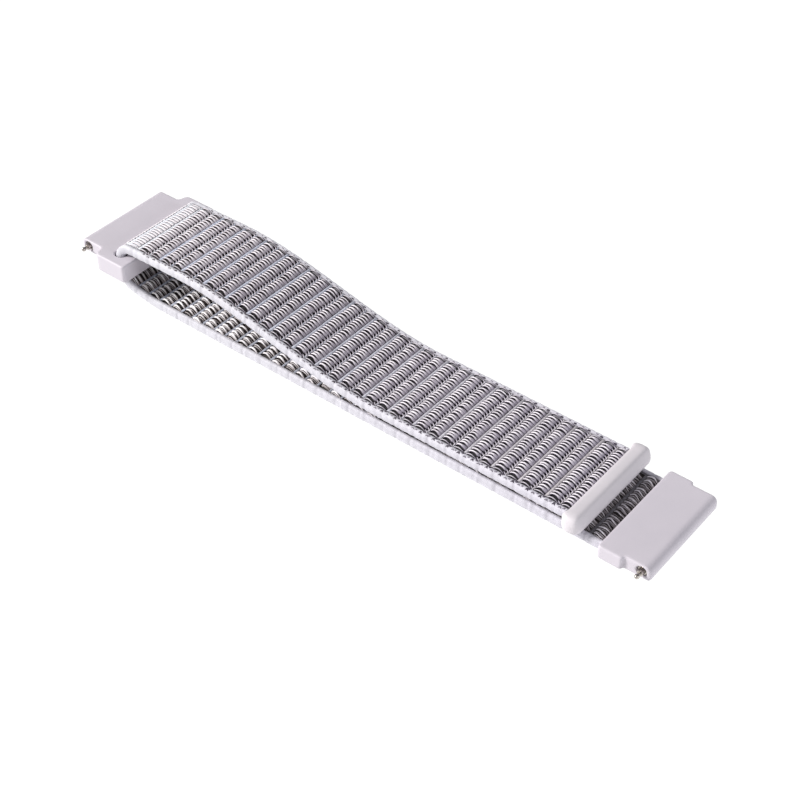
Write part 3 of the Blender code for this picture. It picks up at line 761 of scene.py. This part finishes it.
# A thread that slants over a dotted gap: along from the gap, across, height, half-width, depth and shade.
CROSSING_S = np.array([-0.34, -0.12, 0.12, 0.36, 0.60])
CROSSING_Y = np.array([0.0, -0.13, -0.30, -0.47, -0.60])
CROSSING_H = np.array([0.66, 0.72, 0.72, 0.74, 0.66])
CROSSING_WIDTHS = np.array([0.14, 0.15, 0.15, 0.15, 0.12])
CROSSING_DEPTHS = np.full(5, 0.12)
CROSSING_SHADES = np.array([0.4, 0.5, 0.62, 0.75, 0.6])
CROSSING_OFFSET = 0.2
CROSSING_STRAY = 0.04
CROSSING_LEAST_RELIEF = 0.5


def add_crossings(strands, first, last):
    """The fine threads that slant over every second gap."""
    for gap, dotted, number in GAPS:
        if not dotted or not first < gap < last or relief(number) < CROSSING_LEAST_RELIEF:
            continue
        h = CROSSING_H - sunk(number)
        for index in range(FLOATS):
            start = (index + 0.5 - 0.5 * FLOATS) * FLOAT_PITCH + CROSSING_OFFSET
            y = start + random.normal(0, CROSSING_STRAY)
            s = gap + CROSSING_S + random.normal(0, CROSSING_STRAY)
            strands.add(s, y + CROSSING_Y, h, CROSSING_WIDTHS, CROSSING_DEPTHS, CROSSING_SHADES, 1)


# The dark marks at each gap, by side of the webbing: stitches, drawn larger and darker as painted shade for
# the holes where the grooves meet the selvedge. Along from the gap, across and half-width.
STITCHES = ((-1, ((-0.30, 9.66, 0.17), (0.25, 9.40, 0.15), (0.95, 9.78, 0.09), (1.70, 9.60, 0.11))),
            (1, ((-0.25, 9.32, 0.13), (1.45, 9.45, 0.08))))
LAST_STITCHED = 34
STITCH_S = np.array([-0.30, -0.10, 0.10, 0.30])
STITCH_Y = np.array([0.08, 0.0, 0.0, 0.08])
STITCH_H = np.array([0.87, 0.95, 0.95, 0.87])
STITCH_DEPTHS = np.full(4, 0.07)
STITCH_STRAY = (0.07, 0.04)
STITCH_AND_HOLE_SHADE = 0.06
SMALL_STITCH = 0.12
SMALL_STITCH_LIGHTER = 0.25
# From this gap towards the tab the marks grow by up to this share.
STITCH_GROWTH_START = 20
STITCH_GROWTH = 0.75


def add_stitch_and_hole_marks(strands, first, last):
    """Dark stitch marks where each gap meets the selvedge, with painted shade for the holes there."""
    for gap, _, number in GAPS:
        if not first < gap < last or number > LAST_STITCHED:
            continue
        growth = float(np.clip((STITCH_GROWTH_START - number) / STITCH_GROWTH_START, 0, 1))
        for side, marks in STITCHES:
            for away, y, mark in marks:
                widths = np.full(4, mark * (1.0 + STITCH_GROWTH * growth))
                s = gap + away + random.normal(0, STITCH_STRAY[0]) + STITCH_S
                ys = side * (y + random.normal(0, STITCH_STRAY[1]) + STITCH_Y)
                dark = np.full(4, STITCH_AND_HOLE_SHADE + SMALL_STITCH_LIGHTER * (mark < SMALL_STITCH))
                strands.add(s, ys, STITCH_H, widths, STITCH_DEPTHS, dark, 1)


# A loop of the pile.
LOOP_ARCH = arch(0.84, 0.72)
LOOP_FOOT = 0.46
LOOP_RISE = 0.58
LOOP_LENGTH_SHARE = 0.88
LOOP_LEAN = -0.40
LOOP_LEAN_SHARES = (0.35, 0.65)
LOOP_WIDTH = 0.215
LOOP_TAPER = 0.065
LOOP_TAPER_SHARES = (0.6, 0.4)
# Painted shade: how much a loop darkens towards its end, and over which shares.
LOOP_FADE = 0.55
LOOP_FADE_SHARES = (0.55, 0.42)
LOOP_SHADE = 0.93
# The loops differ in place across and along, length, height, lean, size and brightness.
LOOP_STRAY = (0.11, 0.06)
LOOP_LENGTH_VARIES = 0.03
LOOP_HEIGHT_VARIES = 0.06
LOOP_LEAN_VARIES = 0.08
LOOP_SIZE_VARIES = 0.12
LOOP_SHADE_VARIES = 0.07
LOOP_ROWS = range(-9, 10)
LOOP_FIELD_HALF = 8.95
LONGEST_COLUMN = 3.6
# Thin loops beside it: offset across, half-width and share of the height.
THIN_LOOPS = ((-0.38, 0.10, 0.78), (-0.66, 0.09, 0.55))
THIN_FOOT = 0.42
THIN_CHANCE = 0.6
THIN_SHADE = 0.9
THIN_LEAN = 0.7
THIN_LENGTH = 0.95
THIN_STRAY = 0.05
# From this place to the anchored adapter the loops are finer, waver and have more thin ones beside them.
S_FINE = line.at_low(30.0)
FINE_NARROWING = 0.30
FINE_WAVER = 0.12
FINE_THIN_CHANCE = 0.35


def add_loops(strands, first, last):
    """The loop pile on the inner face, in columns across the webbing."""
    direction = -1.0 if first < S_SLOT else 1.0
    strips = sorted(INNER_STRIPS)
    for place, following in zip(strips, strips[1:]):
        middle = 0.5 * (place + following)
        if not first < middle < last or following - place > LONGEST_COLUMN:
            continue
        fine = float(S_FINE > middle)
        phase = random.random()
        for index in LOOP_ROWS:
            y = (index + phase) * LOOP_PITCH + random.normal(0, LOOP_STRAY[0])
            if abs(y) > LOOP_FIELD_HALF:
                continue
            slack = random.normal(0, 1)
            length = (following - place) * (LOOP_LENGTH_SHARE + LOOP_LENGTH_VARIES * slack)
            along = direction * length * (SHARES - 0.5) + random.normal(0, LOOP_STRAY[1])
            rise = LOOP_RISE + LOOP_HEIGHT_VARIES * slack
            level = -(LOOP_FOOT + rise * LOOP_ARCH)
            lean = (LOOP_LEAN + random.normal(0, LOOP_LEAN_VARIES)) * rising(*LOOP_LEAN_SHARES)
            size = 1.0 - FINE_NARROWING * fine + random.normal(0, LOOP_SIZE_VARIES)
            widths = (LOOP_WIDTH - LOOP_TAPER * rising(*LOOP_TAPER_SHARES)) * size
            shades = (1.0 - LOOP_FADE * rising(*LOOP_FADE_SHARES)) * (LOOP_SHADE + LOOP_SHADE_VARIES * slack)
            lean = lean + fine * FINE_WAVER * np.sin(2 * math.pi * (SHARES + random.random()))
            strands.add(middle + along, y + lean, level, widths, widths, shades, -1)
            for offset, half_width, share in THIN_LOOPS:
                if random.random() < THIN_CHANCE + FINE_THIN_CHANCE * fine:
                    thin = np.full_like(widths, half_width)
                    level = -(THIN_FOOT + rise * share * LOOP_ARCH)
                    ys = y + offset + lean * THIN_LEAN + random.normal(0, THIN_STRAY)
                    # Painted shade: a thin loop is drawn the darker the lower it lies.
                    dimmer = shades * THIN_SHADE * share
                    strands.add(middle + along * THIN_LENGTH, ys, level, thin, thin, dimmer, -1)


# A hooked bristle: along, out from its foot, shade and half-width.
HOOK_S = np.array([0.0, 0.02, 0.09, 0.19, 0.22])
HOOK_H = np.array([0.0, 0.24, 0.36, 0.32, 0.22])
HOOK_SHADES = 0.9 - 0.2 * np.array([0.0, 0.35, 0.65, 0.85, 1.0])
HOOK_WIDTHS = np.full(5, 0.045)
HOOK_FOOT = 1.11
# The rows of hooks: where they start along and across the patch, the margin at their end, how far every
# second row is shifted, and the spacing along and across.
HOOK_START = (0.25, 0.3)
HOOK_MARGIN = 0.2
HOOK_SHIFT = 0.2
HOOK_SPACING = (0.55, 0.5)
HOOK_STRAY = 0.03


def add_hooks(strands):
    """The hook patch under the flap's end: short hooked bristles in close rows."""
    low, high = frame_box("hook_patch")
    for row, x in enumerate(np.arange(low[0] + HOOK_START[0], high[0] - HOOK_MARGIN, HOOK_SPACING[0])):
        turn = 1.0 if row % 2 else -1.0
        s = line.at_top(x) + turn * HOOK_S
        start = low[1] + HOOK_START[1] + HOOK_SHIFT * (row % 2)
        for y in np.arange(start, high[1] - HOOK_MARGIN, HOOK_SPACING[1]):
            ys = np.full(5, y + random.normal(0, HOOK_STRAY))
            strands.add(s, ys, -HOOK_FOOT - HOOK_H, HOOK_WIDTHS, HOOK_WIDTHS, HOOK_SHADES, -1)


# Pieces that follow the solids

# The softening of a moulding in each round, and the share of its faces that is kept.
SOFTENING = 0.5
KEPT_FACES = 0.3


def frame_box(node):
    low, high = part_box(node)
    return np.array(low) / MM, np.array(high) / MM


def moulded(node, body, material, voxel, rounding, growth):
    """A finer copy of a plastic solid, with the soft edges of a moulding."""
    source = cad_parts[node]
    rough = bpy.data.objects.new(node + "_copy", source.data.copy())
    bpy.context.scene.collection.objects.link(rough)
    remesh = rough.modifiers.new("remesh", "REMESH")
    remesh.mode = "VOXEL"
    remesh.voxel_size = voxel * MM
    remesh.adaptivity = 0.0
    soften = rough.modifiers.new("soften", "SMOOTH")
    soften.factor = SOFTENING
    soften.iterations = rounding
    grow = rough.modifiers.new("grow", "DISPLACE")
    grow.mid_level = 0.0
    grow.strength = growth * MM
    thin = rough.modifiers.new("thin", "DECIMATE")
    thin.ratio = KEPT_FACES
    depsgraph = bpy.context.evaluated_depsgraph_get()
    mesh = bpy.data.meshes.new_from_object(rough.evaluated_get(depsgraph))
    bpy.data.objects.remove(rough)
    mesh.name = node + "_moulding"
    mesh.materials.clear()
    mesh.materials.append(material)
    mesh.polygons.foreach_set("use_smooth", [True] * len(mesh.polygons))
    piece = bpy.data.objects.new(node + "_moulding", mesh)
    bpy.context.scene.collection.objects.link(piece)
    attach(piece, body)
    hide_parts(node)


def bar_coil(prefix):
    """A copy of a spring bar's coil, in steel, that moves with its bar."""
    node = prefix + "_bar_spring"
    coil = bpy.data.objects.new(prefix + "_bar_coil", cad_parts[node].data.copy())
    bpy.context.scene.collection.objects.link(coil)
    coil.data.materials.clear()
    coil.data.materials.append(STEEL)
    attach(coil, prefix + "_bar")
    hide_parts(node)
    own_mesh(coil)


def point(x, z):
    return (x * MM, 0.0, z * MM)


add_camera()
add_studio()

LILAC = plastic("lilac_plastic_fine", (0.595, 0.555, 0.612), (0.568, 0.532, 0.588))
# The tab's plastic is a lighter copy of the lilac: painted highlight on its top.
TAB_LILAC_LIT = plastic("tab_plastic_painted_highlight", (0.665, 0.625, 0.665), (0.635, 0.600, 0.640))

# Each yarn has its colours at the folded end, from dark to bright, and then those at the tab's end. The
# shade value picks among them, and for the floats, loops and selvedge it carries painted shade.
BED_NOISE = (500, 2200, 500)
# The selvedge's darkest colour, reached only by its painted shade at its feet and in its dents.
SELVEDGE_SHADE_DARK = (0.05, 0.04, 0.05)
PALE_WEFT = (0.84, 0.86, 0.93)
BRISTLE = fading((0.30, 0.29, 0.31), (0.66, 0.65, 0.68))
TAPE = fading((0.50, 0.49, 0.52), (0.56, 0.55, 0.58))
BAND_YARN = yarn("weft_band", fading((0.52, 0.56, 0.68), (0.62, 0.66, 0.80)),
                 fading((0.50, 0.47, 0.50), (0.62, 0.57, 0.60)),
                 (500, 3400, 500), depth=0.06, worn=0.72)
PALE_YARN = yarn("pale_turn", plain(PALE_WEFT), plain(PALE_WEFT),
                 (900, 3400, 900), depth=0.08, worn=0.82)
BED_YARN = yarn("dark_bed", plain((0.026, 0.016, 0.022)), plain((0.020, 0.016, 0.026)),
                BED_NOISE, depth=0.05, worn=0.5)
EDGE_YARN = yarn("selvedge", [(0.0, SELVEDGE_SHADE_DARK), (0.8, (0.50, 0.49, 0.54)), (1.0, (0.66, 0.65, 0.70))],
                 [(0.0, SELVEDGE_SHADE_DARK), (0.8, (0.48, 0.46, 0.52)), (1.0, (0.65, 0.63, 0.70))],
                 (1100, 700, 1100), depth=0.06, worn=0.90)
FLOAT_YARN = yarn("warp_floats", fading((0.036, 0.020, 0.030), (0.45, 0.40, 0.45), (1.0, 0.95, 0.99)),
                  fading((0.034, 0.024, 0.046), (0.41, 0.37, 0.45), (1.0, 0.95, 1.0)),
                  (700, 5200, 700), depth=0.06, worn=0.84)
LOOP_YARN = yarn("loop_pile", fading((0.06, 0.034, 0.030), (0.54, 0.49, 0.49), (1.0, 0.98, 1.0)),
                 fading((0.085, 0.068, 0.072), (0.38, 0.34, 0.36), (0.90, 0.86, 0.93)),
                 (350, 9000, 350), depth=0.05, worn=0.86)
PILE_BED_YARN = yarn("pile_bed", plain((0.045, 0.030, 0.028)), plain((0.09, 0.074, 0.074)),
                     BED_NOISE, depth=0.05, worn=0.5)
PILE_STRIP_YARN = yarn("pile_strip", plain((0.55, 0.58, 0.68)), plain((0.16, 0.15, 0.17)),
                       BED_NOISE, depth=0.05, worn=0.6)
HOOK_YARN = yarn("hook_bristles", BRISTLE, BRISTLE, (2000, 2000, 2000), depth=0.01)
HOOK_TAPE = yarn("hook_tape", TAPE, TAPE, (3000, 3000, 3000), depth=0.02)
STEEL = steel("bar_steel")

# In the order of the finishes' numbers.
BODY_YARNS = [BAND_YARN, BED_YARN, EDGE_YARN, PILE_BED_YARN, PILE_STRIP_YARN, PALE_YARN]

moulded("slotted_adapter", "slotted_end", LILAC, voxel=0.13, rounding=12, growth=0.02)
moulded("anchored_adapter", "anchored_end", LILAC, voxel=0.13, rounding=10, growth=0.02)
moulded("end_tab", "flap_end", TAB_LILAC_LIT, voxel=0.12, rounding=130, growth=0.22)

for name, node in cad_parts.items():
    if name.startswith(("slotted_bar", "anchored_bar")):
        for slot in node.material_slots:
            slot.material = STEEL

bar_coil("slotted")
bar_coil("anchored")

# The webbing's four lengths: name, first and last arc length, the bodies at its two ends, two places along
# it, and the solids that it replaces.
RUNS = [
    ("anchored_run", S_ANCHOR, S_SEAM_LOW, "anchored_end", "lower", (57.0, FLAT_LOW_Z), (54.0, FLAT_LOW_Z),
     ["webbing_anchor", "webbing_lower"]),
    ("slotted_run", S_SEAM_LOW, S_SLOT, "lower", "slotted_end", (-48.6, 1.14), (-52.6, 1.70),
     ["webbing_lower"]),
    ("fold_run", S_SLOT, S_SEAM_TOP, "slotted_end", "flap", (-53.0, 11.46), (-46.6, 11.60),
     ["webbing_fold", "webbing_flap"]),
    ("flap_run", S_SEAM_TOP, S_END, "flap", "flap_end", (11.0, FLAP_Z), (18.5, FLAP_Z),
     ["webbing_flap", "webbing_flap_end"]),
]

for name, first, last, body_a, body_b, start, end, nodes in RUNS:
    body = webbing_body(name + "_body", first, last, BODY_YARNS)
    ribs = Strands(wrap=-0.22, least=0.0)
    add_ribs(ribs, first, last)
    add_crossings(ribs, first, last)
    add_stitch_and_hole_marks(ribs, first, last)
    ribs = ribs.finish(name + "_ribs", FLOAT_YARN)
    loops = Strands(wrap=0.44, least=0.09)
    add_loops(loops, first, last)
    loops = loops.finish(name + "_loops", LOOP_YARN)
    for piece in (body, ribs, loops):
        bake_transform(piece)
        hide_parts(*nodes)

hooks = Strands(wrap=0.5, least=0.07)
add_hooks(hooks)
hooks = hooks.finish("hook_patch_bristles", HOOK_YARN)
moulded("hook_patch", "flap_end", HOOK_TAPE, voxel=0.10, rounding=3, growth=0.0)
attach(hooks, "flap_end")
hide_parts("hook_patch")
